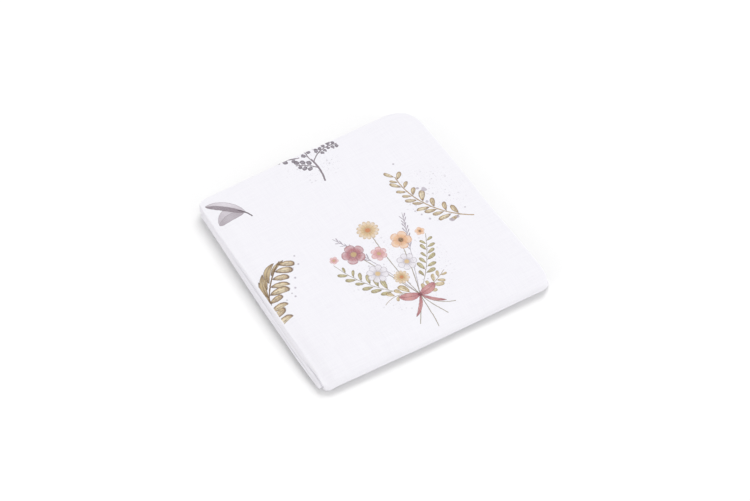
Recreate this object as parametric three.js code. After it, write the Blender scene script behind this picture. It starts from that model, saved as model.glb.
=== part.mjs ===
// A muslin swaddle blanket, folded into a flat packet. It is halved twice across, into a strip of four
// plies, and then halved twice along, into four legs of that strip. It is one cloth, so it is one solid:
// the folded section of the strip, swept along a path that is folded in the same way.
// Millimetres, +Z up. X runs along the front fold, and the packet rests on z = 0.

import * as THREE from "three";

// Cloth.
const CLOTH_WIDTH = 1180; // hem to hem, folded into the strip's four plies
const CLOTH_LENGTH = 1210; // end to end of the strip
const CLOTH_THICKNESS = 1.0;
const PLY_GAP = 0.37; // air between two plies
const PLY_PITCH = CLOTH_THICKNESS + PLY_GAP;

// Strip of four plies, and the packet of four strips.
const PLIES = 4;
const STRIP_PITCH = PLIES * PLY_PITCH;
const STRIP_HALF = ((PLIES - 1) * PLY_PITCH + CLOTH_THICKNESS) / 2;
const FRONT_ROLL_REACH = 16; // the wide front fold slopes down over this length
const INNER_TURN_REACH = 5; // the two inner legs reach this far into the front fold
const STRIP_END_TRIMS = { first: 5, last: 7 }; // how far the strip's two ends stop short of a full leg
const HEM_TRIMS = { first: 1.2, last: 2.6 }; // the same for the two hems inside the strip

// How many steps each stretch has, and where along a leg the points lie.
const LEG_MARKS = [0, 0.04, 0.08, 0.36, 0.64, 0.92, 0.96, 1];
const ROLL_STEPS = { path: 10, section: 6 };
const TURN_STEPS = { path: 5, section: 3 };

// Each leg of the strip slips sideways, from its front end to its back end, and its sides bow a little.
const LEG_SLIPS = {
  bottom: { front: 0, back: 1, bow: 0 },
  top: { front: 0, back: 0, bow: -0.6 },
  third: { front: -8, back: -1, bow: -1.6 },
  second: { front: -8, back: -3, bow: -1.6 },
};

// The packet as it lies.
const FRONT_TO_BACK_FLARE = 0.013; // the right side is longer than the middle by this share, the left shorter
const CROWN_SHARE = 0.05; // the middle is thicker than the edges by this share of the height
const SAG_SHARE = 0.025; // and a soft wave runs across it
const SAG_LENGTH = 210;
const CORNERS = [
  { name: "front left", x: -1, y: -1, radius: 6 },
  { name: "front right", x: 1, y: -1, radius: 14 },
  { name: "back right", x: 1, y: 1, radius: 34 },
  { name: "back left", x: -1, y: 1, radius: 12 },
];

const WHITE_MUSLIN = { color: 0xf2f1f6, roughness: 0.92, metalness: 0 };

// A line that is halved twice, in the plane of (along, height): a bottom leg towards 0, a wide roll up, the
// top leg, a tight turn down, a third leg and an inner turn to the second leg. The legs lie one pitch apart.
function halvedTwice({ total, pitch, reach, innerReach, trims, rollSteps, turnSteps }) {
  const quarter = Math.PI / 2;
  const half = pitch / 2;
  const roll = new THREE.EllipseCurve(0, 3 * half, reach, 3 * half, -quarter, quarter, true);
  const turnLength = Math.PI * half;
  const turnsLength = roll.getLength() + 2 * turnLength;
  const leg = (total - turnsLength - 2 * innerReach + trims.first + trims.last) / 4;
  const backTurn = new THREE.EllipseCurve(leg, 5 * half, half, half, quarter, -quarter, true);
  const innerTurn = new THREE.EllipseCurve(-innerReach, 3 * half, half, half, quarter, -quarter, false);
  const straight = (from, to, level) =>
    new THREE.LineCurve(new THREE.Vector2(from, level * pitch), new THREE.Vector2(to, level * pitch));
  const rollMarks = evenMarks(rollSteps);
  const turnMarks = evenMarks(turnSteps);
  const stretches = [
    { name: "bottom", curve: straight(leg - trims.first, 0, 0), marks: LEG_MARKS },
    { name: "roll", curve: roll, marks: rollMarks },
    { name: "top", curve: straight(0, leg, 3), marks: LEG_MARKS },
    { name: "back turn", curve: backTurn, marks: turnMarks },
    { name: "third", curve: straight(leg, -innerReach, 2), marks: LEG_MARKS },
    { name: "inner turn", curve: innerTurn, marks: turnMarks },
    { name: "second", curve: straight(-innerReach, leg - trims.last, 1), marks: LEG_MARKS },
  ];
  const stations = [];
  for (const { name, curve, marks } of stretches) {
    const isLeg = marks === LEG_MARKS;
    // A turn shares its end points with the legs on both sides of it.
    for (const mark of isLeg ? marks : marks.slice(1, -1)) {
      stations.push({ name, point: curve.getPoint(mark), tangent: curve.getTangent(mark) });
    }
  }
  return { leg, stations };
}

function evenMarks(steps) {
  return Array.from({ length: steps + 1 }, (_, i) => i / steps);
}

function leftOf(tangent) {
  return new THREE.Vector2(-tangent.y, tangent.x);
}

// The strip's section: the folded line across it, thickened to both sides.
function stripSection() {
  const line = halvedTwice({
    total: CLOTH_WIDTH,
    pitch: PLY_PITCH,
    reach: 1.5 * PLY_PITCH,
    innerReach: 0,
    trims: HEM_TRIMS,
    rollSteps: ROLL_STEPS.section,
    turnSteps: TURN_STEPS.section,
  });
  const centre = new THREE.Vector2(line.leg / 2, 1.5 * PLY_PITCH);
  const side = (sign) =>
    line.stations.map(({ point, tangent }) =>
      point.clone().sub(centre).addScaledVector(leftOf(tangent), (sign * CLOTH_THICKNESS) / 2),
    );
  return { width: line.leg, outline: [...side(1), ...side(-1).reverse()] };
}

// How far the strip has slipped sideways at a point of its path.
function slipAt(station, leg) {
  if (station.name in LEG_SLIPS) {
    const { front, back, bow } = LEG_SLIPS[station.name];
    const part = THREE.MathUtils.clamp(station.point.x / leg, 0, 1);
    return THREE.MathUtils.lerp(front, back, part) + bow * Math.sin(Math.PI * part);
  }
  if (station.name === "inner turn") return LEG_SLIPS.third.front;
  return station.name === "roll" ? LEG_SLIPS.top.front : LEG_SLIPS.top.back;
}

// Maps a square corner to a round one: outward is 0 where the rounding starts and 1 at the packet's side.
function roundCorner(point, half, corner) {
  const start = { x: half.x - corner.radius, y: half.y - corner.radius };
  const a = (point.x * corner.x - start.x) / corner.radius;
  const b = (point.y * corner.y - start.y) / corner.radius;
  if (a <= 0 || b <= 0) return;
  const limit = (value) => Math.min(value, 1);
  point.x = corner.x * (start.x + corner.radius * a * Math.sqrt(1 - limit(b) ** 2 / 2));
  point.y = corner.y * (start.y + corner.radius * b * Math.sqrt(1 - limit(a) ** 2 / 2));
}

// Settles a point of the squared-up packet as the cloth really lies.
function settle(point, half) {
  const acrossCrown = Math.cos((Math.PI / 2) * THREE.MathUtils.clamp(point.x / half.x, -1, 1));
  const alongCrown = Math.cos((Math.PI / 2) * THREE.MathUtils.clamp(point.y / half.y, -1, 1));
  const wave = Math.sin((2 * Math.PI * (point.x + point.y / 2)) / SAG_LENGTH);
  for (const corner of CORNERS) roundCorner(point, half, corner);
  point.y *= 1 + (FRONT_TO_BACK_FLARE * point.x) / half.x;
  point.z *= 1 - CROWN_SHARE + CROWN_SHARE * acrossCrown * alongCrown + SAG_SHARE * wave;
}

// The section swept along the strip's own folded path, closed at the strip's two ends.
function foldedBlanket() {
  const section = stripSection();
  const path = halvedTwice({
    total: CLOTH_LENGTH,
    pitch: STRIP_PITCH,
    reach: FRONT_ROLL_REACH,
    innerReach: INNER_TURN_REACH,
    trims: STRIP_END_TRIMS,
    rollSteps: ROLL_STEPS.path,
    turnSteps: TURN_STEPS.path,
  });
  const front = -FRONT_ROLL_REACH - STRIP_HALF;
  const back = path.leg + STRIP_PITCH / 2 + STRIP_HALF;
  const middle = (front + back) / 2;
  const half = { x: section.width / 2 + 1.5 * PLY_PITCH, y: (back - front) / 2 };
  const positions = [];
  for (const station of path.stations) {
    const outward = leftOf(station.tangent);
    const slip = slipAt(station, path.leg);
    for (const { x: across, y: proud } of section.outline) {
      const point = new THREE.Vector3(
        across,
        station.point.x - middle + proud * outward.x,
        station.point.y + STRIP_HALF + proud * outward.y,
      );
      settle(point, half);
      positions.push(point.x + slip, point.y, point.z);
    }
  }
  const geometry = new THREE.BufferGeometry();
  geometry.setAttribute("position", new THREE.Float32BufferAttribute(positions, 3));
  geometry.setIndex(sweptFaces(section.outline, path.stations.length));
  geometry.computeVertexNormals();
  geometry.computeBoundingBox();
  const centre = geometry.boundingBox.getCenter(new THREE.Vector3());
  geometry.translate(-centre.x, -centre.y, -geometry.boundingBox.min.z);
  return geometry;
}

// Side faces between neighbouring sections, and a flat cap on the first and the last one.
function sweptFaces(outline, sections) {
  const count = outline.length;
  const faces = [];
  for (let row = 0; row < sections - 1; row++) {
    for (let i = 0; i < count; i++) {
      const here = row * count + i;
      const next = row * count + ((i + 1) % count);
      faces.push(here, next, here + count, next, next + count, here + count);
    }
  }
  const lastRow = (sections - 1) * count;
  for (const [a, b, c] of THREE.ShapeUtils.triangulateShape(outline, [])) {
    faces.push(a, b, c, lastRow + a, lastRow + c, lastRow + b);
  }
  return faces;
}

const blanket = new THREE.Mesh(foldedBlanket(), new THREE.MeshStandardMaterial(WHITE_MUSLIN));
blanket.name = "blanket";

const packet = new THREE.Group();
packet.add(blanket);

export default packet;
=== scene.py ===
# %% [markdown]
# # A folded muslin swaddle
#
# The object is one square of printed muslin, folded into a flat packet. Nothing on it is hard, so
# everything that shows is cloth: sixteen plies that are joined at their folds, four hems, and a print of
# small sprigs.
#
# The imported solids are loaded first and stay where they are. The cloth is then made as a real sheet,
# about a millimetre thick, which runs through the same folds, and it stands in for the plain solid.

# %% The frame
from collections import namedtuple

import bpy
import numpy as np
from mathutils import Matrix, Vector


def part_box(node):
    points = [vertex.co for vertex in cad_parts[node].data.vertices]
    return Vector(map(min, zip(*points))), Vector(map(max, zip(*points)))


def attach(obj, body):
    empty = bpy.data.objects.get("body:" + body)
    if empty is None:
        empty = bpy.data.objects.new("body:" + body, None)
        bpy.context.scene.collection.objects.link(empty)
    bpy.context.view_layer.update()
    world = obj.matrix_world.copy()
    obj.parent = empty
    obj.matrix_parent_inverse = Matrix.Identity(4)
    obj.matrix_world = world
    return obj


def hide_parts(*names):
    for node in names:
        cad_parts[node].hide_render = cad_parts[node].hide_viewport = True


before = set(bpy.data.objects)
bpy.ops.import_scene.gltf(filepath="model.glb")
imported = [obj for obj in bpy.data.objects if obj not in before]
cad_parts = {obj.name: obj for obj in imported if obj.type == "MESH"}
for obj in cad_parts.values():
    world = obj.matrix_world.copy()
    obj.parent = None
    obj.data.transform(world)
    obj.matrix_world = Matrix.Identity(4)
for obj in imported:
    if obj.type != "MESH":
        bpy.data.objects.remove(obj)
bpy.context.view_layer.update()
node_low, node_high = (np.array(corner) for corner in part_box("blanket"))
print("the packet is", np.round((node_high - node_low) * 1000, 1), "mm")

# %% [markdown]
# ## Measures
#
# The cloth was halved twice across its width, which gives a strip of four plies, and the strip was halved
# twice along its length. Both times the same line is followed, once with the distance between two plies
# and once with the distance between two strips. Blender works in metres, so a size in millimetres is
# written with `MM`.

# %% The cloth's measures
MM = 0.001

CLOTH_WIDTH = 1.18
CLOTH_LENGTH = 1.21
SHEET_THICKNESS = 1.27 * MM
SOLID_THICKNESS = 1.0 * MM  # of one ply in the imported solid
PLY_PITCH = 1.37 * MM
PLIES = 4  # of the strip
STRIPS = 4  # of the packet
STRIP_PITCH = PLIES * PLY_PITCH
STRIP_HALF = ((PLIES - 1) * PLY_PITCH + SOLID_THICKNESS) / 2
FRONT_ROLL_REACH = 16 * MM
INNER_TURN_REACH = 5 * MM
STRIP_END_TRIMS = (5 * MM, 7 * MM)  # how far the strip's two ends stop short of a full leg
HEM_TRIMS = (1.2 * MM, 2.6 * MM)  # and its two inner hems
print("a strip of", PLIES, "plies is", round(2 * STRIP_HALF / MM, 2), "mm thick")

# %% [markdown]
# ## The folded line
#
# A line that is halved twice has four legs and three bends. Seen from the side it runs along the bottom,
# up a wide roll, back along the top, down a tight turn, along the third leg, round an inner turn, and
# ends on the second leg. Every place on it has a point, a direction, and the length of cloth that leads
# up to it. That last number matters most for the looks: it is the cloth's own coordinate, so a print that
# is drawn with it follows each fold.
#
# A pressed fold isn't a half circle. Its side is flatter, like a superellipse, and one exponent sets how
# flat.

# %% A line that is halved twice
TINY = 1e-9


def leg_marks(count):
    """Places along a leg, from 0 to 1, which lie closer together near the folds."""
    even = np.linspace(0, 1, count + 1)
    return (even + (1 - np.cos(np.pi * even)) / 2) / 2


def halved_twice(total, pitch, reach, inner_reach, trims, flatness, steps):
    """The line: its legs' length, and each station's point, direction, cloth length and stretch."""
    first, last = trims
    roll = np.pi * (1.5 * pitch + reach) / 2
    leg = (total - roll - np.pi * pitch - 2 * inner_reach + first + last) / 4
    stretches = []

    def straight(name, begin, end, level):
        marks = leg_marks(steps[name])
        one = np.ones_like(marks)
        along = begin + (end - begin) * marks
        stretches.append((name, along, level * pitch * one, np.sign(end - begin) * one, 0 * one))

    def bend(name, along, level, reach_out, half_height, turning, power=2.0):
        angle = np.linspace(0, np.pi, steps[name] + 1)[1:-1]
        side, rise = np.sin(angle), np.cos(angle)
        point_x = along + reach_out * side ** (2 / power)
        point_z = level * pitch + turning * half_height * np.sign(rise) * np.abs(rise) ** (2 / power)
        run = reach_out * side ** (2 / power - 1) * rise
        fall = -turning * half_height * np.abs(rise).clip(TINY) ** (2 / power - 1) * side
        size = np.hypot(run, fall)
        stretches.append((name, point_x, point_z, run / size, fall / size))

    straight("bottom", leg - first, 0, 0)
    bend("roll", 0, 1.5, -reach, 1.5 * pitch, -1, flatness)
    straight("top", 0, leg, 3)
    bend("back turn", leg, 2.5, pitch / 2, pitch / 2, 1)
    straight("third", leg, -inner_reach, 2)
    bend("inner turn", -inner_reach, 1.5, -pitch / 2, pitch / 2, 1)
    straight("second", -inner_reach, leg - last, 1)

    line = {"leg": leg, "names": np.concatenate([[stretch[0]] * len(stretch[1]) for stretch in stretches])}
    for i, key in enumerate(("along", "height", "run", "rise"), 1):
        line[key] = np.concatenate([stretch[i] for stretch in stretches])
    steps_taken = np.hypot(np.diff(line["along"]), np.diff(line["height"]))
    line["cloth"] = np.append(0, np.cumsum(steps_taken)) * total / steps_taken.sum()
    return line


# %% [markdown]
# The line across the cloth has tight folds, pressed nearly flat, and takes its steps mostly on top, where
# they show. The line down the cloth has the wide front roll, which is round.

# %% The two lines
ACROSS_STEPS = {
    "bottom": 16, "roll": 14, "top": 80, "back turn": 8, "third": 16, "inner turn": 8, "second": 16
}
DOWN_STEPS = {
    "bottom": 40, "roll": 28, "top": 92, "back turn": 14, "third": 40, "inner turn": 14, "second": 30
}

across = halved_twice(
    total=CLOTH_WIDTH,
    pitch=PLY_PITCH,
    reach=1.5 * PLY_PITCH,
    inner_reach=0,
    trims=HEM_TRIMS,
    flatness=9.0,
    steps=ACROSS_STEPS,
)
down = halved_twice(
    total=CLOTH_LENGTH,
    pitch=STRIP_PITCH,
    reach=FRONT_ROLL_REACH,
    inner_reach=INNER_TURN_REACH,
    trims=STRIP_END_TRIMS,
    flatness=2.0,
    steps=DOWN_STEPS,
)
print("legs of", round(across["leg"] / MM, 1), "and", round(down["leg"] / MM, 1), "mm")
print("lines:", len(across["cloth"]), "across and", len(down["cloth"]), "down")

# %% [markdown]
# ## From flat line to lying cloth
#
# The sheet is the first line, given a thickness and swept along the second. What makes it look like cloth
# comes after that, and nearly all of it is smooth warping of the space around the packet: rounded
# corners, a flare towards the right, plies that lie nearer or further apart, and soft hollows. A smooth
# warp doesn't push one ply through another, but a mesh follows it only in straight steps, and the gaps
# are just a tenth of a millimetre. So the faces do cut each other a little, mostly by less than a tenth
# of a millimetre: at the hems, which are thicker than their room, and in and beside the tightest folds.
#
# The strip also slipped sideways while it was folded. Its upper and lower faces slipped by different
# amounts, so the folded side at the left isn't a straight stack but leans out towards the front.

# %% How the strip slipped
SIDE_SLIPS = (
    # stretch, place on its leg (0 is the front), slip of its upper and of its lower face, in millimetres
    ("bottom", 1.0, 2.0, 3.0),
    ("bottom", 0.15, 2.0, 3.0),
    ("bottom", 0.0, 1.5, 2.5),
    ("top", 0.0, 0.5, 0.0),
    ("top", 0.12, 0.5, -2.2),
    ("top", 0.5, 0.5, -1.2),
    ("top", 1.0, 0.0, -0.3),
    ("third", 1.0, -0.3, -0.8),
    ("third", 0.5, -0.8, -2.2),
    ("third", 0.14, -2.0, -4.0),
    ("third", 0.04, -1.8, -4.0),
    ("third", 0.0, -1.4, -3.4),
    ("second", 0.0, -3.4, -4.2),
    ("second", 0.04, -4.0, -4.8),
    ("second", 0.14, -4.0, -5.2),
    ("second", 0.5, -2.0, -2.8),
    ("second", 1.0, -0.8, -1.4),
)
BOWS = {"top": -0.6, "third": -1.6, "second": -1.6}
FACE_DOWN = ("bottom", "third")


def side_slips(line):
    """How far the strip's outer and inner face have slipped at each station of its line, in metres."""
    part = (line["along"] / line["leg"]).clip(0, 1)
    keys = []
    for name, where, upper, lower in SIDE_SLIPS:
        stretch = np.flatnonzero(line["names"] == name)
        nearest = stretch[np.abs(part[stretch] - where).argmin()]
        outer, inner = (lower, upper) if name in FACE_DOWN else (upper, lower)
        keys.append((line["cloth"][nearest], outer * MM, inner * MM))
    at, outer, inner = zip(*sorted(keys))
    bowed = sum(np.where(line["names"] == name, size * MM, 0) for name, size in BOWS.items())
    bowed = bowed * np.sin(np.pi * part)
    return [np.interp(line["cloth"], at, slip) + bowed for slip in (outer, inner)]


largest_slip = np.abs(side_slips(down)).max()
print("the strip slipped by up to", round(largest_slip / MM, 1), "mm")

# %% [markdown]
# The warps work in two ways. The first only lifts or drops the cloth: soft waves, and a few long creases
# that were pressed into the top. A lift that changes slowly with height keeps the plies in order.

# %% Waves and pressed creases
PLY_DRIFT = (
    # size and length in millimetres, heading in degrees, phase, and turn from one ply to the next
    (0.30, 260, 80, 0.4, 1.1),
    (0.20, 140, 95, 2.2, 1.9),
)
PLY_LIFT = (
    (0.22, 190, 20, 1.0, 0.9),
    (0.14, 90, 70, 3.1, 1.3),
    (0.10, 60, 130, 0.2, 1.7),
)
SOFT_HOLLOWS = (
    (0.28, 150, 35, 0.6, 0),
    (0.20, 105, 100, 2.4, 0),
    (0.10, 62, 150, 4.0, 0),
)
TROUGHS = (
    # middle in x and y, heading in degrees, half its length and width, and depth: all in millimetres
    (-112, 72, -38, 38, 7, 0.45),
    (-88, 60, -52, 26, 5, 0.30),
    (-112, -112, 47, 40, 8, 0.55),
    (-82, -128, 62, 26, 6, 0.30),
    (70, 118, 12, 60, 10, 0.35),
    (118, -96, -58, 45, 9, 0.35),
    (20, -138, 4, 70, 7, 0.25),
)


def waves(x, y, z, rows):
    """Soft unevenness as a sum of waves."""
    total = 0
    for size, length, heading, phase, turn in rows:
        heading = np.radians(heading)
        place = (x * np.cos(heading) + y * np.sin(heading)) / (length * MM)
        total = total + size * MM * np.sin(2 * np.pi * place + phase + turn * z / PLY_PITCH)
    return total


def troughs(x, y):
    """The few long soft creases that were pressed into the top."""
    total = 0
    for middle_x, middle_y, heading, length, width, depth in TROUGHS:
        heading = np.radians(heading)
        off_x, off_y = x / MM - middle_x, y / MM - middle_y
        along = (off_x * np.cos(heading) + off_y * np.sin(heading)) / length
        aside = (off_y * np.cos(heading) - off_x * np.sin(heading)) / width
        total = total - depth * MM * np.exp(-(along**2) - aside**2)
    return total


print("pressed creases:", len(TROUGHS))

# %% [markdown]
# The second way moves the cloth sideways. Each square corner is mapped one to one onto a round one, and
# then pulled out or in by a few millimetres, which fade over half the packet. Neither can fold the cloth
# over itself.

# %% Round corners and pulls
CORNERS = (
    # side in x, side in y, and radius in millimetres
    (-1, -1, 6),
    (1, -1, 16),
    (1, 1, 36),
    (-1, 1, 11),
)
PULLS = (
    # side in x, side in y, how the pull changes with height (1 up, -1 down, 0 not), and its size in
    # millimetres: to the right in x, and outward in y
    (1, -1, -1, 3.5, 1.0),
    (1, 1, 0, -3.0, 0.0),
    (1, -1, 1, -1.0, 0.0),
    (-1, -1, 0, 0.0, -2.0),
)


def round_corners(x, y, half_x, half_y):
    """Points near a corner, moved onto the quarter of a disc."""
    for side_x, side_y, radius in CORNERS:
        radius = radius * MM
        a = (x * side_x - half_x + radius) / radius
        b = (y * side_y - half_y + radius) / radius
        inside = (a > 0) & (b > 0)
        pulled_x = side_x * (half_x - radius + radius * a * np.sqrt(1 - b.clip(0, 1) ** 2 / 2))
        pulled_y = side_y * (half_y - radius + radius * b * np.sqrt(1 - a.clip(0, 1) ** 2 / 2))
        x, y = np.where(inside, pulled_x, x), np.where(inside, pulled_y, y)
    return x, y


def pulled(x, y, x_part, y_part, share):
    """The corners pulled out or in, where the parts run from -1 to 1 and the height's share from 0 to 1."""
    for side_x, side_y, upward, pull_x, pull_y in PULLS:
        reach = ((side_x * x_part).clip(0, 1) * (side_y * y_part).clip(0, 1)) ** 2
        reach = reach * {1: share, -1: 1 - share, 0: 1}[upward]
        x, y = x + reach * pull_x * MM, y + side_y * reach * pull_y * MM
    return x, y


print("corner radii:", *(radius for side_x, side_y, radius in CORNERS), "mm")

# %% [markdown]
# All warps come together in one function, which takes the squared-up packet to where the cloth lies. The
# packet is fullest in its middle, sags a little, and is longer on the right than on the left. A pressed
# fold is thinner than the stack beside it, so the folded left side and the nose of the front roll both
# hang lower than the rest.

# %% Settling the packet
FLARE = 0.013  # share by which the right side is longer than the middle
CROWN_SHARE = 0.05
SAG_SHARE = 0.025
SAG_LENGTH = 210 * MM
LEFT_DROOP_SHARES = (0.24, 0.08)  # how much lower the left edge lies, at most and at least
LEAST_DROOP_FROM = 0.2  # the least starts this share of the way from the middle to the back
LEFT_DROOP_REACH = 17 * MM
FRONT_DROOP_SHARE = 0.26  # how much lower the nose of the front roll hangs
FRONT_DROOP_REACH = 26 * MM
DRIFT_SHARE_ALONG = 0.6  # how much of the plies' drift across the packet they also drift along it


def ease(share):
    """From 0 to 1 with a soft start and a soft end."""
    share = share.clip(0, 1)
    return share * share * (3 - 2 * share)


def droops(x, y, y_part, half_x, half_y):
    """How much lower the cloth hangs near its folded edges, as a share of its height."""
    most, least = LEFT_DROOP_SHARES
    left_edge = ease(1 - (x + half_x) / LEFT_DROOP_REACH)
    front_edge = ease(1 - (y + half_y) / FRONT_DROOP_REACH)
    toward_back = ease(1 + (y_part - LEAST_DROOP_FROM) / 2)
    return left_edge * (most + (least - most) * toward_back) + FRONT_DROOP_SHARE * front_edge


def settle(x, y, z, half_x, half_y, height):
    """Moves the points of the squared-up packet to where the cloth lies."""
    x_part, y_part = (x / half_x).clip(-1, 1), (y / half_y).clip(-1, 1)
    share = (z / height).clip(0, 1)
    crown = np.cos(np.pi / 2 * x_part) * np.cos(np.pi / 2 * y_part)
    sag = np.sin(2 * np.pi * (x + y / 2) / SAG_LENGTH)
    lift = waves(x, y, z, PLY_LIFT) * np.sin(np.pi * share)
    lift = lift + (waves(x, y, z, SOFT_HOLLOWS) + troughs(x, y)) * share**2
    drift = waves(x, y, z, PLY_DRIFT)
    stack = 1 - CROWN_SHARE + CROWN_SHARE * crown + SAG_SHARE * sag
    z = z * (stack - droops(x, y, y_part, half_x, half_y)) + lift
    x, y = round_corners(x, y, half_x, half_y)
    y = y * (1 + FLARE * x / half_x)
    x, y = pulled(x, y, x_part, y_part, share)
    return x + drift, y + DRIFT_SHARE_ALONG * drift, z


print("the front roll's nose hangs lower by", round(FRONT_DROOP_SHARE * 100), "% of its height")

# %% [markdown]
# ## The sheet
#
# A sheet in Blender could be a single surface with a Solidify modifier, but then every free edge is a
# sharp little step. Here both faces are worked out from the same lines, half a thickness to each side,
# and the thickness runs out in a round lip at the edge. Over the hem, where the real cloth is turned
# under twice, the sheet is fuller.
#
# The lower strips stand out at the left of the top one. So the top is set two millimetres to the right,
# and the packet as a whole lies over its solid.

# %% Both faces of the sheet
HEM_WIDTH = 9 * MM
HEM_FULLNESS = 0.22
LIP = 0.5 * MM
LIP_START = 0.1  # the share of the lip that is left out, so that the rim is narrow but not sharp
TOP_IS_RIGHT_BY = 2.06 * MM


def fullness(line, total):
    """The sheet's thickness at each station, as shares: round at the lip, and fuller over the hem."""
    edge = np.minimum(line["cloth"], total - line["cloth"])
    lip = np.sqrt(1 - (1 - (edge / LIP).clip(LIP_START, 1)) ** 2)
    return lip, 1 + HEM_FULLNESS * (edge < HEM_WIDTH)


def sheet_face(side):
    """One face of the sheet: a row of points for each station down it, and a column for each one across."""
    lip_across, hem_across = fullness(across, CLOTH_WIDTH)
    lip_down, hem_down = fullness(down, CLOTH_LENGTH)
    half = SHEET_THICKNESS / 2 * np.outer(lip_down, lip_across) * np.maximum.outer(hem_down, hem_across)
    x = across["along"] - across["leg"] / 2 - side * half * across["rise"]
    proud = across["height"] - 1.5 * PLY_PITCH + side * half * across["run"]
    front = -FRONT_ROLL_REACH - STRIP_HALF
    back = down["leg"] + STRIP_PITCH / 2 + STRIP_HALF
    y = down["along"][:, None] - (front + back) / 2 - proud * down["rise"][:, None]
    z = down["height"][:, None] + STRIP_HALF + proud * down["run"][:, None]
    half_x = across["leg"] / 2 + 1.5 * PLY_PITCH
    x, y, z = settle(x, y, z, half_x, (back - front) / 2, STRIPS * STRIP_PITCH)
    outer, inner = side_slips(down)
    outward = (proud / STRIP_HALF).clip(-1, 1) / 2 + 0.5
    x = x + inner[:, None] + (outer - inner)[:, None] * outward
    return np.stack([x, y, z], -1)


faces_of_cloth = np.stack([sheet_face(1), sheet_face(-1)])
low, high = faces_of_cloth.min((0, 1, 2)), faces_of_cloth.max((0, 1, 2))
middle = (node_low + node_high - low - high)[1] / 2
faces_of_cloth += (TOP_IS_RIGHT_BY, middle, node_low[2] - low[2])
print("the sheet's box is", np.round((high - low) / MM, 1), "mm")

# %% [markdown]
# The two faces are joined into one closed mesh by a narrow rim round their four edges. Closed means that
# it also has an inside and an outside, which the thickness and the area are measured by.

# %% The mesh


def grid_quads(rows, columns, start):
    """The quads of a grid of points whose numbers begin at start."""
    corner = start + np.arange(rows * columns).reshape(rows, columns)[:-1, :-1].ravel()
    return np.stack([corner, corner + 1, corner + columns + 1, corner + columns], 1)


def rim_quads(rows, columns):
    """The quads that join the borders of two such grids."""
    grid = np.arange(rows * columns).reshape(rows, columns)
    ring = np.concatenate([grid[0], grid[1:, -1], grid[-1, -2::-1], grid[-2:0:-1, 0]])
    after = np.roll(ring, -1)
    return np.stack([ring, ring + grid.size, after + grid.size, after], 1)


rows, columns = faces_of_cloth.shape[1:3]
quads = [
    grid_quads(rows, columns, 0)[:, ::-1],
    grid_quads(rows, columns, rows * columns),
    rim_quads(rows, columns),
]
mesh = bpy.data.meshes.new("swaddle_cloth")
mesh.from_pydata(faces_of_cloth.reshape(-1, 3).tolist(), [], np.concatenate(quads).tolist())
mesh.shade_smooth()
swaddle = bpy.data.objects.new("swaddle_cloth", mesh)
bpy.context.scene.collection.objects.link(swaddle)
print("faces:", len(mesh.polygons), "area:", round(sum(f.area for f in mesh.polygons) / 2, 3), "m2")

# %% [markdown]
# ## Cloth coordinates
#
# Three things are stored on the mesh for the material. `Cloth` is where a point lies on the flat cloth,
# in metres from one of its corners. `wrong_side` tells the printed face from the other one. `OFBake` is a
# map for baking: it holds the same flat cloth, but most of its room goes to the stretch that shows on top
# of the packet.

# %% Maps and sides
TOP_SHARE = 0.72
TOP_MARGIN = 12 * MM
PRINTED_ROOM = (0.01, 0.80)  # where the printed face starts in the map for baking, and how wide it is
WRONG_SIDE_ROOM = (0.83, 0.14)
DOWN_ROOM = (0.01, 0.98)


def widened(line, total):
    """Cloth lengths turned into shares from 0 to 1, of which the top leg takes the most."""
    top = line["cloth"][line["names"] == "top"]
    low, high = top.min() - TOP_MARGIN, top.max() + TOP_MARGIN
    spare = (1 - TOP_SHARE) / (total - (high - low))
    return np.interp(line["cloth"], [0, low, high, total], [0, low * spare, low * spare + TOP_SHARE, 1])


corner_of = np.empty(len(mesh.loops), int)
mesh.loops.foreach_get("vertex_index", corner_of)
on_wrong_side, row, column = np.unravel_index(corner_of, (2, rows, columns))
cloth_map = mesh.uv_layers.new(name="Cloth")
cloth_map.uv.foreach_set(
    "vector", np.stack([across["cloth"][column], down["cloth"][row]], 1).astype(np.float32).ravel()
)
room_start, room = (np.where(on_wrong_side, *pair) for pair in zip(WRONG_SIDE_ROOM, PRINTED_ROOM))
bake_u = widened(across, CLOTH_WIDTH)[column] * room + room_start
bake_v = DOWN_ROOM[0] + DOWN_ROOM[1] * widened(down, CLOTH_LENGTH)[row]
bake_map = mesh.uv_layers.new(name="OFBake")
bake_map.uv.foreach_set("vector", np.stack([bake_u, bake_v], 1).astype(np.float32).ravel())
sides = mesh.attributes.new("wrong_side", "FLOAT", "POINT")
sides.data.foreach_set("value", np.repeat([0.0, 1.0], rows * columns).astype(np.float32))
print("maps:", *(stored.name for stored in mesh.uv_layers))

# %% [markdown]
# The print has to lie on the packet's top in the right place, whichever part of the cloth came to lie
# there. So the middle of the top is looked up on the mesh, and the print starts from it.

# %% The middle of the top
top_row = faces_of_cloth[0][down["names"] == "top"]
middle_row = np.abs(top_row[:, columns // 2, 1]).argmin()
on_top = across["names"] == "top"
MIDDLE_U = np.interp(0, top_row[middle_row, on_top, 0], across["cloth"][on_top])
MIDDLE_V = down["cloth"][down["names"] == "top"][middle_row]
print("the top's middle is", round(MIDDLE_U, 3), "m across the cloth and", round(MIDDLE_V, 3), "m down it")

# %% [markdown]
# ## Writing a shader as formulas
#
# The print and the weave are patterns, so they are easier to write as formulas than to wire up by hand. A
# small class wraps a socket, and arithmetic on it adds the Math nodes. Every other node comes from its
# one `node` method, which takes the node's type, its settings, and the values or links of its sockets.

# %% Shader arithmetic


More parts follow.
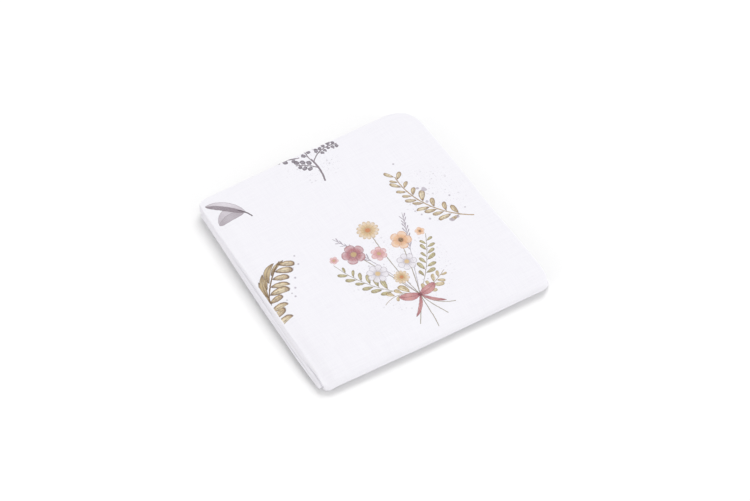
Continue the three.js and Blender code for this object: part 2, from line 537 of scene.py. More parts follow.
class Signal:
    """A value, vector or colour in the shader tree that is being built. Arithmetic is for values alone."""

    tree = None

    def __init__(self, socket):
        self.socket = socket

    @staticmethod
    def node(kind, settings=(), sockets=(), output=0):
        added = Signal.tree.nodes.new(kind)
        for name, setting in dict(settings).items():
            setattr(added, name, setting)
        for key, value in dict(sockets).items():
            if isinstance(value, Signal):
                Signal.tree.links.new(value.socket, added.inputs[key])
            else:
                added.inputs[key].default_value = value
        return Signal(added.outputs[output]) if added.outputs else None

    @staticmethod
    def math(operation, *terms):
        return Signal.node("ShaderNodeMath", {"operation": operation}, enumerate(terms))

    def __add__(self, other):
        return Signal.math("ADD", self, other)

    def __sub__(self, other):
        return Signal.math("SUBTRACT", self, other)

    def __mul__(self, other):
        return Signal.math("MULTIPLY", self, other)

    def __truediv__(self, other):
        return Signal.math("DIVIDE", self, other)

    def __rsub__(self, other):
        return Signal.math("SUBTRACT", other, self)

    __radd__ = __add__
    __rmul__ = __mul__


# %% [markdown]
# Three words that all patterns share: a colour as it shows, a soft-edged mask, and one colour over
# another. A mask could come from a comparison, but its edge would then be jagged. A short smooth step
# keeps it soft, as ink on cloth is, and needs no clamp after it.

# %% Inks, masks and layers
LIGHT_IN_TENT = 1.256  # how much brighter the lit cloth shows than its own colour


def ink(red, green, blue):
    """A cloth colour that shows as this one, from 0 to 255, when it lies flat in the light of the tent."""
    shown = np.array([red, green, blue]) / 255
    linear = np.where(shown > 0.04045, ((shown + 0.055) / 1.055) ** 2.4, shown / 12.92)
    return (*(linear / LIGHT_IN_TENT).tolist(), 1.0)


def under(value, limit, soft=0.15):
    """1 where a value is less than its limit, 0 where it is more, and a soft edge between."""
    settings = {"interpolation_type": "SMOOTHSTEP", "clamp": False}
    reach = {"From Min": limit - soft, "From Max": limit + soft, "To Min": 1.0, "To Max": 0.0}
    return Signal.node("ShaderNodeMapRange", settings, {"Value": value, **reach})


def layer(below, above, share, blend="MIX"):
    """One colour over another, by a share from 0 to 1."""
    settings = {"data_type": "RGBA", "blend_type": blend}
    return Signal.node("ShaderNodeMix", settings, {0: share, 6: below, 7: above}, output=2)


WHITE = ink(248, 247, 252)
print("the cloth's own white is", np.round(WHITE[:3], 3))

# %% [markdown]
# The other words are about places: soft noise, and a way to look at the cloth from a motif's own corner,
# turned its own way. Every motif could have a map of its own, but a few dot products do the same. Lengths
# in the print are millimetres.

# %% Noise and places


def noise(place, size, detail=1.0, output=0):
    """Soft noise from 0 to 1, with bumps of about this size in millimetres."""
    sockets = {"Vector": place, "Scale": 1 / size, "Detail": detail}
    return Signal.node("ShaderNodeTexNoise", {"noise_dimensions": "2D"}, sockets, output)


def vector_math(operation, *terms, output=0):
    """A Vector Math node, whose second output is a value."""
    return Signal.node("ShaderNodeVectorMath", {"operation": operation}, enumerate(terms), output)


def parts(pair, kind="ShaderNodeSeparateXYZ"):
    """The first two parts of a vector, or of a colour."""
    first = Signal.node(kind, (), {0: pair})
    return first, Signal(first.socket.node.outputs[1])


def distance(place, corner):
    """How far a place is from a corner."""
    return vector_math("DISTANCE", place, (*corner, 0.0), output=1)


def from_corner(place, corner, heading=0.0):
    """Where a place is, seen from a corner with its x axis along the heading (in radians)."""
    away = vector_math("SUBTRACT", place, (*corner, 0.0))
    ahead = (float(np.cos(heading)), float(np.sin(heading)), 0.0)
    aside = (-ahead[1], ahead[0], 0.0)
    return [vector_math("DOT_PRODUCT", away, axis, output=1) for axis in (ahead, aside)]


def size_of(x, y):
    """How long the vector of these two parts is."""
    pair = Signal.node("ShaderNodeCombineXYZ", (), {0: x, 1: y})
    return vector_math("LENGTH", pair, output=1)


def magnitude(value):
    """A value without its sign."""
    return Signal.math("ABSOLUTE", value)


# %% [markdown]
# The print could be one tree, but that tree would have thousands of nodes and grow slowly, because
# Blender looks through all of it after every link. So each motif is painted in a node group of its own,
# which takes the cloth's colour and gives it back with the motif on it. What a brush has to know goes
# along as the ground: the place in the print, and how the wash runs there.
#
# The renderer keeps only a few hundred values at a time, and works out clamps and changes of type last of
# all. So the groups have none of those, and every mask is mixed into the colour as soon as it is made.

# %% A group for each motif
Ground = namedtuple("Ground", "place wash fine_wash")


def painted(name, paint, cloth, ground):
    """The cloth's colour after a painting function has run in a node group of its own."""
    group = bpy.data.node_groups.new(name, "ShaderNodeTree")
    group.interface.new_socket("cloth", in_out="INPUT", socket_type="NodeSocketColor")
    group.interface.new_socket("place", in_out="INPUT", socket_type="NodeSocketVector")
    group.interface.new_socket("wash", in_out="INPUT", socket_type="NodeSocketFloat")
    group.interface.new_socket("fine_wash", in_out="INPUT", socket_type="NodeSocketFloat")
    group.interface.new_socket("cloth", in_out="OUTPUT", socket_type="NodeSocketColor")
    outer, Signal.tree = Signal.tree, group
    given = Signal.node("NodeGroupInput").socket.node.outputs
    inner_ground = Ground(*(Signal(given[number]) for number in (1, 2, 3)))
    Signal.node("NodeGroupOutput", (), {0: paint(Signal(given[0]), inner_ground)})
    print(name, "takes", len(group.nodes), "nodes")
    Signal.tree = outer
    return Signal.node("ShaderNodeGroup", {"node_tree": group}, enumerate((cloth, *ground)))


# %% [markdown]
# ## Where on the cloth
#
# A printed muslin repeats the same sprigs all over. The print could be drawn on the packet as it lies,
# but then it would run straight across the folds. Here it is drawn on the flat cloth and follows every
# fold by itself: the `Cloth` map gives a place in metres, which is taken from the middle of the packet's
# top, turned into millimetres, and wrapped at the size of one repeat.
#
# Ink never sits quite sharp on open muslin, so the place is shaken by a fraction of a millimetre first,
# which gives the print its slightly broken edges.

# %% Place in the repeat
REPEAT_LOW = (-172.0, -170.0, -1.0)
REPEAT_HIGH = (168.0, 190.0, 1.0)
SHAKE = 0.9  # a place moves by up to half of this, in millimetres

cloth_paint = bpy.data.materials.new("printed_muslin")
cloth_paint.use_nodes = True
Signal.tree = cloth_paint.node_tree

cloth_place = Signal.node("ShaderNodeUVMap", {"uv_map": "Cloth"})
from_middle = Signal.node(
    "ShaderNodeMapping",
    {"vector_type": "TEXTURE"},
    {0: cloth_place, 1: (float(MIDDLE_U), float(MIDDLE_V), 0.0), 3: (MM, MM, 1.0)},
)
shake = vector_math("SUBTRACT", noise(from_middle, 3.5, 2.0, output=1), (0.5, 0.5, 0.5))
shaken = vector_math("ADD", from_middle, vector_math("MULTIPLY", shake, (SHAKE, SHAKE, 0.0)))
print_place = vector_math("WRAP", shaken, REPEAT_HIGH, REPEAT_LOW)
print_ground = Ground(print_place, noise(from_middle, 4.0, 3.0), noise(from_middle, 1.3, 2.0))
repeat_size = [high - low for low, high in zip(REPEAT_LOW[:2], REPEAT_HIGH[:2])]
print("one repeat of the print is", *repeat_size, "mm")

# %% [markdown]
# ## Stems and leaves
#
# A sprig is a stem with leaves at an even pitch. Each leaf could be drawn by itself, but that takes a
# dozen nodes a leaf. So the cloth is looked at from the stem instead: how far along it, and how far
# beside it. In that view the stem is straight and the leaves stand in a row of slanted cells, so one leaf
# is worked out, and every cell repeats it, a little larger or smaller and leaning a little more or less
# each time.

# %% Looking from a stem
Stem = namedtuple("Stem", "along beside length")
LEFT, RIGHT = 1, -1  # the sides of a stem


def along_arc(place, start, middle, end):
    """Distance along an arc through three points, distance to its left, and the arc's length."""
    a, b, c = (complex(*point) for point in (start, middle, end))
    turned = (c - a) / (b - a)
    centre = a + (b - a) * (turned - abs(turned) ** 2) / (2j * turned.imag)
    turn = float(np.sign(turned.imag))
    radius = abs(a - centre)
    sweep = float((np.angle((c - centre) / (a - centre)) * turn) % (2 * np.pi))
    middle_heading = np.angle(a - centre) + turn * sweep / 2
    x, y = from_corner(place, (centre.real, centre.imag), middle_heading)
    along = Signal.math("ARCTAN2", y, x) * (turn * radius) + sweep * radius / 2
    beside = (radius - distance(place, (centre.real, centre.imag))) * turn
    return Stem(along, beside, sweep * radius)


def stem_line(stem, thickness=0.5):
    """The stem itself."""
    half = stem.length / 2
    return under(magnitude(stem.beside), thickness) * under(magnitude(stem.along - half), half, 0.4)


# %% [markdown]
# Every leaf of a row is the same egg-shaped blade on a short stalk. A dice is thrown for each cell, with
# a white noise that takes the leaf's number: it makes the leaf a little larger or smaller, lets it lean,
# and gives it more or less bloom. The leaves also get smaller towards the stem's tip.

# %% A row of leaves
SIDE_SHIFT = 0.25  # of a pitch, so that the leaves of the two sides aren't opposite each other
LEAF_LEAN = 0.32  # how far a tip may lean, as a share of the leaf's length
SMALLEST_LEAF, LEAF_RANGE = 0.74, 0.4
FIRST_LEAF = 1.05


def leaf_row(
    stem, first, count, pitch, angle, length, width, blade=0.86, egg=0.8, shrink=0.3, only=0, seed=0
):
    """Leaves beside a stem: where a place is in its own leaf, and masks for leaf and stalk."""
    angle = float(np.radians(angle))
    away = magnitude(stem.beside)
    side = Signal.math("SIGN", stem.beside)
    slanted = (stem.along - away * (1 / np.tan(angle)) - first) * (1 / pitch) + side * SIDE_SHIFT
    number = Signal.math("FLOOR", slanted)
    cell = number + side * 0.37 + seed * 17.3
    dice = Signal.node("ShaderNodeTexWhiteNoise", {"noise_dimensions": "1D"}, {"W": cell}, output=1)
    size_dice, lean_dice = parts(dice, "ShaderNodeSeparateColor")
    in_cell = (slanted - number - 0.5) * pitch
    size = (FIRST_LEAF - number * (shrink / count)) * (SMALLEST_LEAF + LEAF_RANGE * size_dice)
    part = (in_cell * np.cos(angle) + away * (1 / np.sin(angle))) / (length * size)
    aside = in_cell * np.sin(angle) + part * (lean_dice - 0.5) * (LEAF_LEAN * length)
    half = (1 - egg * 0.55 + egg * part) * size * (width / 2)
    outline = size_of((part - (1 - blade / 2)) * (2 / blade), aside / half)
    present = under(magnitude(number - (count - 1) / 2), count / 2, 0.05)
    if only:
        present = present * under(stem.beside * -only, 0.0)
    stalk = under(magnitude(aside), 0.32) * under(part, 1 - 0.8 * blade, 0.03)
    return {
        "outline": outline,
        "aside": aside,
        "rear": under(aside / half, -0.25, 0.5),
        "part": part,
        "inside": under(outline, 1.0, 0.07) * present,
        "stalk": stalk * present,
        "tone": size_dice,
    }


# %% [markdown]
# ## Inks and leaves
#
# The sprigs are water colours in a few quiet tones: gold and bronze, and grey with a little violet in it.
# One flat colour for each leaf would look like a sticker, so a set of inks has three tones.

# %% Inks
# Each set of inks is a leaf's body, its bloom and its line.
GOLD = (ink(202, 174, 122), ink(242, 228, 194), ink(120, 90, 48))
GOLD_STEM = ink(172, 140, 88)
BRONZE = (ink(186, 153, 102), ink(240, 224, 188), ink(92, 62, 28))
DARK_BRONZE = (ink(158, 128, 80), ink(222, 200, 156), ink(74, 50, 22))
SLATE = (ink(132, 118, 126), ink(166, 153, 161), ink(92, 80, 88))
PALE_SLATE = (ink(184, 172, 181), ink(212, 203, 212), ink(120, 105, 114))
MIST = (ink(210, 201, 209), ink(236, 231, 237), ink(118, 103, 112))
OLIVE = (ink(186, 174, 118), ink(214, 205, 158), ink(128, 112, 66))
print("the body of a gold leaf is", np.round(GOLD[0][:3], 3))

# %% [markdown]
# Each leaf is painted the way a brush leaves it: a body that differs from leaf to leaf, a lighter bloom
# where the water stood, a darker line where it dried at the edge, and a midrib.

# %% Painting a row of leaves


def paint_leaves(cloth, ground, leaves, inks, rib=0.3):
    """The cloth's colour with a row of leaves on it."""
    body, bloom, line = inks
    colour = layer(body, bloom, under(leaves["outline"], 0.65, 0.3) * (0.45 + 0.7 * leaves["tone"]))
    colour = layer(colour, line, under(1 - ground.wash, 0.42, 0.12) * 0.45)
    colour = layer(colour, line, leaves["rear"] * 0.45)
    colour = layer(colour, line, under(magnitude(leaves["outline"] - 0.94), 0.13, 0.1) * 0.85)
    if rib:
        ribs = under(magnitude(leaves["aside"]), rib) * under(leaves["part"], 0.85, 0.08)
        colour = layer(colour, line, ribs * 0.65)
    cloth = layer(cloth, colour, leaves["inside"] * (0.8 + 0.3 * ground.fine_wash))
    return layer(cloth, line, leaves["stalk"] * 0.85)


# %% [markdown]
# ## Leaves drawn one by one
#
# A leaf that stands alone, or that crowds behind a stem, doesn't fit in a row. It is a lens: its half
# width rises and falls along a slightly bent midline, and a power of that curve makes its tips blunt or
# sharp. A curve object would give the same outline but has no place in a shader, and a formula stays
# sharp at any size. These leaves are drawn rather than washed, with fine slanted veins.

# %% A single leaf


def lens(place, base, tip, width, bend=0.0, point=0.75):
    """How far inside a pointed leaf a place is, its share along the leaf, and how far aside it is."""
    run = complex(*tip) - complex(*base)
    x, y = from_corner(place, base, np.angle(run))
    part = x * (1 / abs(run))
    belly = Signal.math("MAXIMUM", part * (1 - part) * 4, 0.0)
    aside = y - belly * bend
    half = Signal.math("POWER", belly, point) * (width / 2)
    return half - magnitude(aside), part, aside


def veins(part, aside, pitch, slant):
    """Fine lines that slant away from a midrib."""
    wave = Signal.math("PINGPONG", part * (1 / pitch) - magnitude(aside) * slant, 0.5)
    return under(wave, 0.17, 0.12)


def paint_lens(cloth, ground, shape, inks, vein_pitch=0.055, strength=0.9):
    """The cloth's colour with a single leaf on it."""
    inside, part, aside = shape
    body, bloom, line = inks
    colour = layer(body, bloom, under(magnitude(part - 0.55), 0.22, 0.25) * 0.8)
    colour = layer(colour, line, veins(part, aside, vein_pitch, 0.9) * 0.35)
    colour = layer(colour, line, under(magnitude(aside), 0.35) * 0.7)
    colour = layer(colour, line, under(inside, 0.8, 0.35) * 0.8)
    strength = strength * 0.8 + (strength * 0.3) * ground.fine_wash
    return layer(cloth, colour, under(0.3 - inside, 0.0) * strength)


# %% [markdown]
# ## Gold sprigs
#
# Two gold sprigs show on the packet's top. One lies whole on the right, with slim leaves on the left of
# its stem and fewer, fuller ones on its right, so each side is a row of its own. The other is larger and
# is cut off by the left fold. Its right leaves are a row too, and the dark ones that crowd behind its
# stem are drawn one by one.

# %% Gold sprigs
DARK_LEAVES = (
    # base, tip, width and bend of the leaves that crowd behind the left sprig's stem
    ((-145, -26), (-142, 12), 6.5, 1.0),
    ((-143, -14), (-133, 19), 7.5, 3.0),
    ((-139, -4), (-127, 18), 5.0, 2.0),
    ((-133, 3), (-114, 27), 8.5, 5.0),
    ((-126, 11), (-102, 25), 5.5, 2.5),
)
LEFT_FOLD = -145


def right_sprig(cloth, ground):
    stem = along_arc(ground.place, (125, -30), (88, 4), (74, 66))
    left_row = leaf_row(
        stem, first=14.5, count=12, pitch=8.9, angle=48, length=17.5, width=5.4, only=LEFT, seed=6
    )
    cloth = layer(cloth, GOLD_STEM, stem_line(stem, 0.75) * 0.9)
    cloth = paint_leaves(cloth, ground, left_row, GOLD)
    right_row = leaf_row(
        stem, first=5.5, count=7, pitch=15.4, angle=44, length=20.0, width=7.4, only=RIGHT, seed=6
    )
    return paint_leaves(cloth, ground, right_row, GOLD)


def left_sprig(cloth, ground):
    right_of_fold = under(from_corner(ground.place, (0, 0), np.pi)[0], -LEFT_FOLD, 0.6)
    for base, tip, width, bend in DARK_LEAVES:
        leaf = lens(ground.place, base, tip, width, bend, point=0.6)
        cloth = paint_lens(cloth, ground, leaf, DARK_BRONZE, vein_pitch=0.2, strength=right_of_fold)
    stem = along_arc(ground.place, (-158, -64), (-142, -14), (-107, 26))
    cloth = layer(cloth, GOLD[2], stem_line(stem, 0.8) * right_of_fold)
    row = leaf_row(
        stem, first=1, count=9, pitch=11.4, angle=60, length=24, width=10.4, blade=0.95, shrink=0.15,
        only=RIGHT, seed=9
    )
    row["inside"] = row["inside"] * right_of_fold
    row["stalk"] = row["stalk"] * right_of_fold
    return paint_leaves(cloth, ground, row, BRONZE)


cloth = painted("right_sprig", right_sprig, WHITE, print_ground)
cloth = painted("left_sprig", left_sprig, cloth, print_ground)

# %% [markdown]
# ## Grey leaves and the berry twig
#
# Two grey leaves lie at the back left corner, one half over the other, each with one half in its own
# shade. A second gradient could darken that half, but a brush leaves a clear border at the midrib.

# %% Grey leaves


def shade_half(cloth, ground, shape, side, strength):
    """One half of a leaf lies in its own shade."""
    inside, part, aside = shape
    shade = under(0.3 - inside, 0.0) * under(aside * -side, 0.0, 0.5) * (0.6 + 0.4 * ground.fine_wash)
    colour = layer(SLATE[0], SLATE[2], veins(part, aside, 0.05, 0.9) * 0.5)
    return layer(cloth, colour, shade * strength)


def grey_leaves(cloth, ground):
    lower = lens(ground.place, (-107, 114), (-141, 111), width=20, bend=-6, point=0.5)
    upper = lens(ground.place, (-105, 111), (-143, 145), width=13.5, bend=-3.5, point=0.65)
    stem = along_arc(ground.place, (-101, 102), (-104, 109), (-112, 119))
    cloth = paint_lens(cloth, ground, lower, PALE_SLATE, vein_pitch=0.06, strength=0.85)
    cloth = shade_half(cloth, ground, lower, LEFT, 0.35)
    cloth = paint_lens(cloth, ground, upper, MIST)
    cloth = shade_half(cloth, ground, upper, LEFT, 1.0)
    return layer(cloth, SLATE[2], stem_line(stem, 0.8))


cloth = painted("grey_leaves", grey_leaves, cloth, print_ground)

# %% [markdown]
# At the back fold stands a grey twig with berries, which could be scattered dots. But berries sit on
# their branches in pairs, so they are leaf rows whose blades are short and round.

# %% Berry twig
TWIG = ink(134, 122, 130)
BERRY = (ink(118, 108, 118), ink(152, 143, 153), ink(84, 74, 84))
BRANCHES = (
    # start, middle and end of a branch, first berry, number, pitch, and the berries' length and width
    ((2, 136), (12, 145), (41, 148), 12, 5, 5.8, 7.2, 5.4),
    ((2, 126), (-6, 134), (-20, 142), 3, 3, 7.0, 9.5, 7.0),
    ((1, 140), (0, 152), (6, 168), 6, 4, 6.4, 8.0, 5.4),
    ((-10, 151), (-28, 156), (-46, 164), 3, 4, 9.0, 6.5, 5.4),
)


def berry_twig(cloth, ground):
    trunk = along_arc(ground.place, (-1, 103), (2.5, 122), (1, 142))
    cloth = layer(cloth, TWIG, stem_line(trunk, 1.15))
    for number, (start, middle, end, first, count, pitch, length, width) in enumerate(BRANCHES):
        branch = along_arc(ground.place, start, middle, end)
        berries = leaf_row(
            branch, first, count, pitch, 50, length, width, blade=0.7, egg=0.0, shrink=0.1, seed=10 + number
        )
        cloth = layer(cloth, TWIG, stem_line(branch, 0.7))
        cloth = paint_leaves(cloth, ground, berries, BERRY, rib=0)
    return cloth


cloth = painted("berry_twig", berry_twig, cloth, print_ground)

# %% [markdown]
# ## A posy
#
# The largest motif is a tied posy of meadow flowers, in straw, dusty red, peach and olive. It could be a
# picture, but then it would be soft when seen close and couldn't be changed. As formulas, each stem is an
# arc that fans out from the tie, with the same leaf rows as the sprigs.

# %% Posy stems and leaves
TIE = (8, -98)
LILAC = (ink(196, 187, 199), ink(206, 198, 209), ink(138, 124, 138))
STRAW_LEAF = (ink(222, 200, 150), ink(238, 224, 190), ink(150, 124, 70))

LEAFY_STEMS = (
    # middle and end of the stem, first leaf, number, pitch, angle, leaf length and width, and inks
    ((-32, -60), (-56, -12), 28, 6, 11.0, 42, 15.0, 5.0, OLIVE),
    ((38, -64), (60, -26), 24, 6, 9.4, 46, 13.0, 4.6, OLIVE),
    ((-12, -36), (-38, 22), 72, 8, 6.2, 26, 9.5, 1.6, LILAC),
    ((30, -44), (52, 14), 64, 8, 6.2, 26, 9.5, 1.6, LILAC),
    ((-8, -88), (-34, -92), 4, 3, 9.0, 50, 14.0, 5.6, STRAW_LEAF),
    ((24, -94), (50, -82), 4, 4, 8.6, 50, 13.0, 5.0, STRAW_LEAF),
)
BARE_STEMS = (
    # middle and end of a stem that starts at the tie
    ((-6, -60), (-28, -8)),
    ((4, -50), (4, 8)),
    ((20, -60), (28, -24)),
    ((12, -114), (22, -136)),
    ((6, -116), (4, -144)),
    ((0, -112), (-14, -134)),
    ((14, -110), (38, -126)),
)


def posy_leaves(cloth, ground):
    for number, (middle, end, first, count, pitch, angle, length, width, inks) in enumerate(LEAFY_STEMS):
        stem = along_arc(ground.place, TIE, middle, end)
        row = leaf_row(stem, first, count, pitch, angle, length, width, seed=20 + number)
        cloth = layer(cloth, inks[2], stem_line(stem, 0.35) * 0.8)
        cloth = paint_leaves(cloth, ground, row, inks, rib=0.15 * width / 2)
    return cloth


def posy_stems(cloth, ground):
    for middle, end in BARE_STEMS:
        stem = along_arc(ground.place, TIE, middle, end)
        cloth = layer(cloth, OLIVE[2], stem_line(stem) * 0.8)
    return cloth


cloth = painted("posy_leaves", posy_leaves, cloth, print_ground)
cloth = painted("posy_stems", posy_stems, cloth, print_ground)

# %% [markdown]
# A blossom is round and repeats itself petal by petal, so it is worked out in polar form: the distance at
# which its edge lies rises and falls with the angle, once for every petal. Fine rays run out from the
# eye, and a line dries at the edge, as on the leaves.

# %% Blossoms
STRAW = (ink(226, 194, 138), ink(164, 124, 72), ink(208, 132, 76))
DUSTY_RED = (ink(188, 112, 116), ink(128, 62, 70), GOLD[0])
ROSE = (ink(226, 168, 164), ink(180, 104, 108), GOLD[0])
PEACH = (ink(240, 192, 140), ink(200, 122, 66), GOLD[2])
WHITE_PETALS = (ink(240, 236, 242), ink(140, 127, 141), STRAW[0])

BLOSSOMS = (
    # centre, radius, petals, turn, depth of the notches, and the inks of body, line and eye
    ((-28, -10), 14.5, 5, 20, 0.34, DUSTY_RED),
    ((4, 12), 13.5, 13, 0, 0.30, STRAW),
    ((30, -20), 13.0, 5, 50, 0.36, PEACH),
    ((-18, -48), 13.0, 8, 10, 0.30, WHITE_PETALS),
    ((20, -50), 12.0, 7, 35, 0.32, WHITE_PETALS),
    ((-2, -24), 10.0, 6, 10, 0.34, ROSE),
    ((3, -66), 9.5, 11, 0, 0.30, STRAW),
    ((56, -20), 6.0, 5, 5, 0.36, PEACH),
    ((-52, -6), 5.5, 5, 40, 0.36, ROSE),
)
EYE_SHARE = 0.24


def blossom(cloth, ground, centre, radius, petals, turn, depth, inks):
    """Paints a flower as it looks from above."""
    body, line, eye = inks
    x, y = from_corner(ground.place, centre, np.radians(turn))
    out = distance(ground.place, centre) * (1 / radius)
    around = Signal.math("ARCTAN2", y, x) * (petals / 2)
    bulge = magnitude(Signal.math("COSINE", around))
    edge = Signal.math("POWER", bulge, 0.45) * depth + (1 - depth)
    rays = under(Signal.math("PINGPONG", around * 2.3 + ground.wash * 0.9, 0.5), 0.12, 0.1)
    colour = layer(body, WHITE, under(magnitude(out - 0.78), 0.1, 0.2) * (ground.wash * 0.9))
    colour = layer(colour, line, rays * under(out, 0.7, 0.4) * 0.6)
    colour = layer(colour, line, under(bulge, 0.16, 0.14) * 0.6)
    colour = layer(colour, line, under(edge - out, 0.05, 0.07) * 0.75)
    colour = layer(colour, line, under(out, 0.36, 0.2) * 0.55)
    cloth = layer(cloth, colour, under(out - edge, 0.0, 0.03) * (0.75 + 0.3 * ground.fine_wash))
    return layer(cloth, eye, under(out, EYE_SHARE, 0.06) * (0.7 + 0.4 * ground.fine_wash))


def posy_blossoms(cloth, ground):
    for each in BLOSSOMS:
        cloth = blossom(cloth, ground, *each)
    return cloth


cloth = painted("posy_blossoms", posy_blossoms, cloth, print_ground)

# %% [markdown]
# A ribbon could be a strip along a curve. At this size its two loops and two tails look like slim leaves
# that all start at the tie, so the same lens draws them, in red.

# %% The bow round the stems
BOW_INKS = (DUSTY_RED[0], ROSE[0], DUSTY_RED[1])
BOW = (
    # tip, width and bend of its tails and loops, which all start at the tie
    ((-13, -124), 5.0, 2.5),
    ((30, -120), 5.0, -2.5),
    ((-15, -90), 12.0, 1.5),
    ((31, -92), 12.0, -1.5),
)


def bow(cloth, ground):
    for tip, width, bend in BOW:
        shape = lens(ground.place, TIE, tip, width, bend, point=0.55)
        cloth = paint_lens(cloth, ground, shape, BOW_INKS, vein_pitch=0.2, strength=1.0)
    return layer(cloth, BOW_INKS[2], under(distance(ground.place, TIE), 2.6, 0.3) * 0.9)


cloth = painted("bow", bow, cloth, print_ground)

# %% [markdown]
# ## Blots and specks
#
# Round each sprig the painter's brush left a few grey blots and a spray of fine specks. The blots are few
# and have places of their own, so they are circles with uneven edges. The specks are many, and come from
# the cells of a Voronoi texture: a cell holds one only if its own random colour says so. The spray is
# thickest near the motifs.

# %% Blots and specks
BLOTS = (
    # centre and radius
    ((94, 32), 3.2),
    ((88, 37), 1.9),
    ((87, 14), 2.0),
    ((98, -24), 3.0),
    ((107, -23), 2.0),
    ((67, 8), 1.2),
    ((71, 0), 1.1),
    ((76, -10), 1.5),
    ((115, 9), 1.4),
    ((122, -15), 1.3),
    ((83, 84), 1.4),
    ((-88, 24), 1.2),
    ((-90, 11), 1.2),
    ((-98, 9), 1.0),
    ((-103, -5), 1.4),
    ((-110, -18), 1.3),
    ((-117, -23), 1.0),
    ((-116, -29), 1.3),
    ((-127, -29), 1.1),
)
SPRAYED = (
    # centre and radius of the motifs with a spray of specks round them
    ((0, 138), 44),
    ((98, 22), 52),
    ((6, -60), 74),
)


def specks(place, size, share, strength):
    """A spray of dots: cells of this size in millimetres, of which a share holds one."""
    settings = {"voronoi_dimensions": "2D", "feature": "F1"}
    cells = Signal.node("ShaderNodeTexVoronoi", settings, {"Vector": place, "Scale": 1 / size})
    dice, other_dice = parts(Signal(cells.socket.node.outputs["Color"]), "ShaderNodeSeparateColor")
    # A speck's radius is compared by way of the difference, because it differs from cell to cell.
    return under(cells - 0.14 * other_dice, 0.1, 0.04) * under(dice, share, 0.01) * strength


def blots_and_specks(cloth, ground):
    for centre, radius in BLOTS:
        out = distance(ground.place, centre) + (ground.wash - 0.5) * radius
        colour = layer(LILAC[0], LILAC[2], under(out, radius * 0.8, radius * 0.3) * 0.35)
        cloth = layer(cloth, colour, under(out, radius, 0.4) * 0.75)
    spray = 0.06
    for centre, radius in SPRAYED:
        near = under(distance(ground.place, centre), radius * 0.75, radius * 0.25)
        spray = Signal.math("MAXIMUM", near, spray)
    cloth = layer(cloth, LILAC[2], specks(ground.place, 5.5, 0.2, 0.3) * spray)
    return layer(cloth, LILAC[0], specks(ground.place, 2.2, 0.3, 0.5) * spray)


cloth = painted("blots_and_specks", blots_and_specks, cloth, print_ground)

# %% [markdown]
# ## The muslin itself
#
# Muslin is a plain weave of fine, uneven yarn. Seen close, warp and weft pass over and under each other
# at a little over half a millimetre, and now and then a thicker yarn runs on for a while. Modelled yarn
# would take millions of faces for what is only a faint texture here, so two waves across each other stand
# in for it, with long streaks of noise for the thick yarns and a softer noise for the crinkle of washed
# cloth.
#
# The wrong side shows the same print, pale, because the ink barely goes through.

# %% Weave, thick yarns and crinkle
YARN_PITCH = 0.62
STREAK_WIDTH, STREAK_LENGTH = 1.1, 38.0
CRINKLE_SIZE = 7.0
PALER_BEHIND = 0.62  # the share of white over the print on the wrong side
SHADED = (0.90, 0.89, 0.92, 1.0)

warp_at, weft_at = parts(from_middle)


def yarns(at):
    """A row of yarns: 1 on top of each one and 0 between two."""
    return Signal.math("PINGPONG", at * (1 / YARN_PITCH), 0.5) * 2


def uneven_yarns(stretch_x, stretch_y):
    """Long streaks along the yarns."""
    streaked = vector_math("MULTIPLY", from_middle, (1 / stretch_x, 1 / stretch_y, 0.0))
    return noise(streaked, 1.0, 2.0)


over = Signal.math("PINGPONG", (warp_at + weft_at) * (1 / YARN_PITCH), 1.0)
weave = yarns(warp_at) * over + yarns(weft_at) * (1 - over)
streaks = uneven_yarns(STREAK_WIDTH, STREAK_LENGTH) + uneven_yarns(STREAK_LENGTH, STREAK_WIDTH)
crinkle = noise(vector_math("MULTIPLY", from_middle, (1.0, 0.7, 0.0)), CRINKLE_SIZE, 3.0)

# Ink sinks in between the yarns, and a thick yarn takes a little less of it.
cloth = layer(cloth, WHITE, (1 - weave) * 0.10 + under(streaks, 0.8, 0.12) * 0.12)
wrong_side = Signal.node("ShaderNodeAttribute", {"attribute_name": "wrong_side"}, (), output=2)
cloth = layer(cloth, WHITE, wrong_side * PALER_BEHIND)
cloth = layer(cloth, SHADED, under(1.25 - streaks, 0.2, 0.3) * 0.3, "MULTIPLY")
print("yarns to a centimetre:", round(10 / YARN_PITCH))

# %% [markdown]
# ## Hems and stitches
#
# All four edges are turned under twice and sewn with white thread. Eight millimetres from the edge runs
# one row of stitches, each sunk a little into the cloth, with a fine pucker on both sides. Stitches could
# be small meshes, but on four edges that is nearly two thousand of them, in places where hardly any show.
# The distance to the nearest edge of the flat cloth places them all in the material instead.

# %% Hems
STITCH_ROW = 8.0
STITCH_PITCH = 2.6
STITCH_LENGTH = 1.9
HALF_THREAD = 0.28
PUCKER_REACH = 1.6
THREAD = ink(222, 220, 228)

cloth_u, cloth_v = parts(cloth_place)
to_side = Signal.math("MINIMUM", cloth_u, CLOTH_WIDTH - cloth_u) * (1 / MM)
to_end = Signal.math("MINIMUM", cloth_v, CLOTH_LENGTH - cloth_v) * (1 / MM)
to_edge = Signal.math("MINIMUM", to_side, to_end)
side_is_near = under(to_side - to_end, 0.0, 0.01)
along_edge = side_is_near * weft_at + (1 - side_is_near) * warp_at
gathered = Signal.math("PINGPONG", along_edge, STITCH_PITCH / 2)
from_row = magnitude(to_edge - STITCH_ROW)
stitch = under(gathered, STITCH_LENGTH / 2, 0.1) * under(from_row, HALF_THREAD, 0.12)
pucker = under(from_row, PUCKER_REACH, 1.2)
hem_step = under(to_edge, HEM_WIDTH / MM, 0.25)
cloth = layer(cloth, THREAD, stitch * 0.8)
print("stitches round the hems:", round(2 * (CLOTH_WIDTH + CLOTH_LENGTH) / MM / STITCH_PITCH))

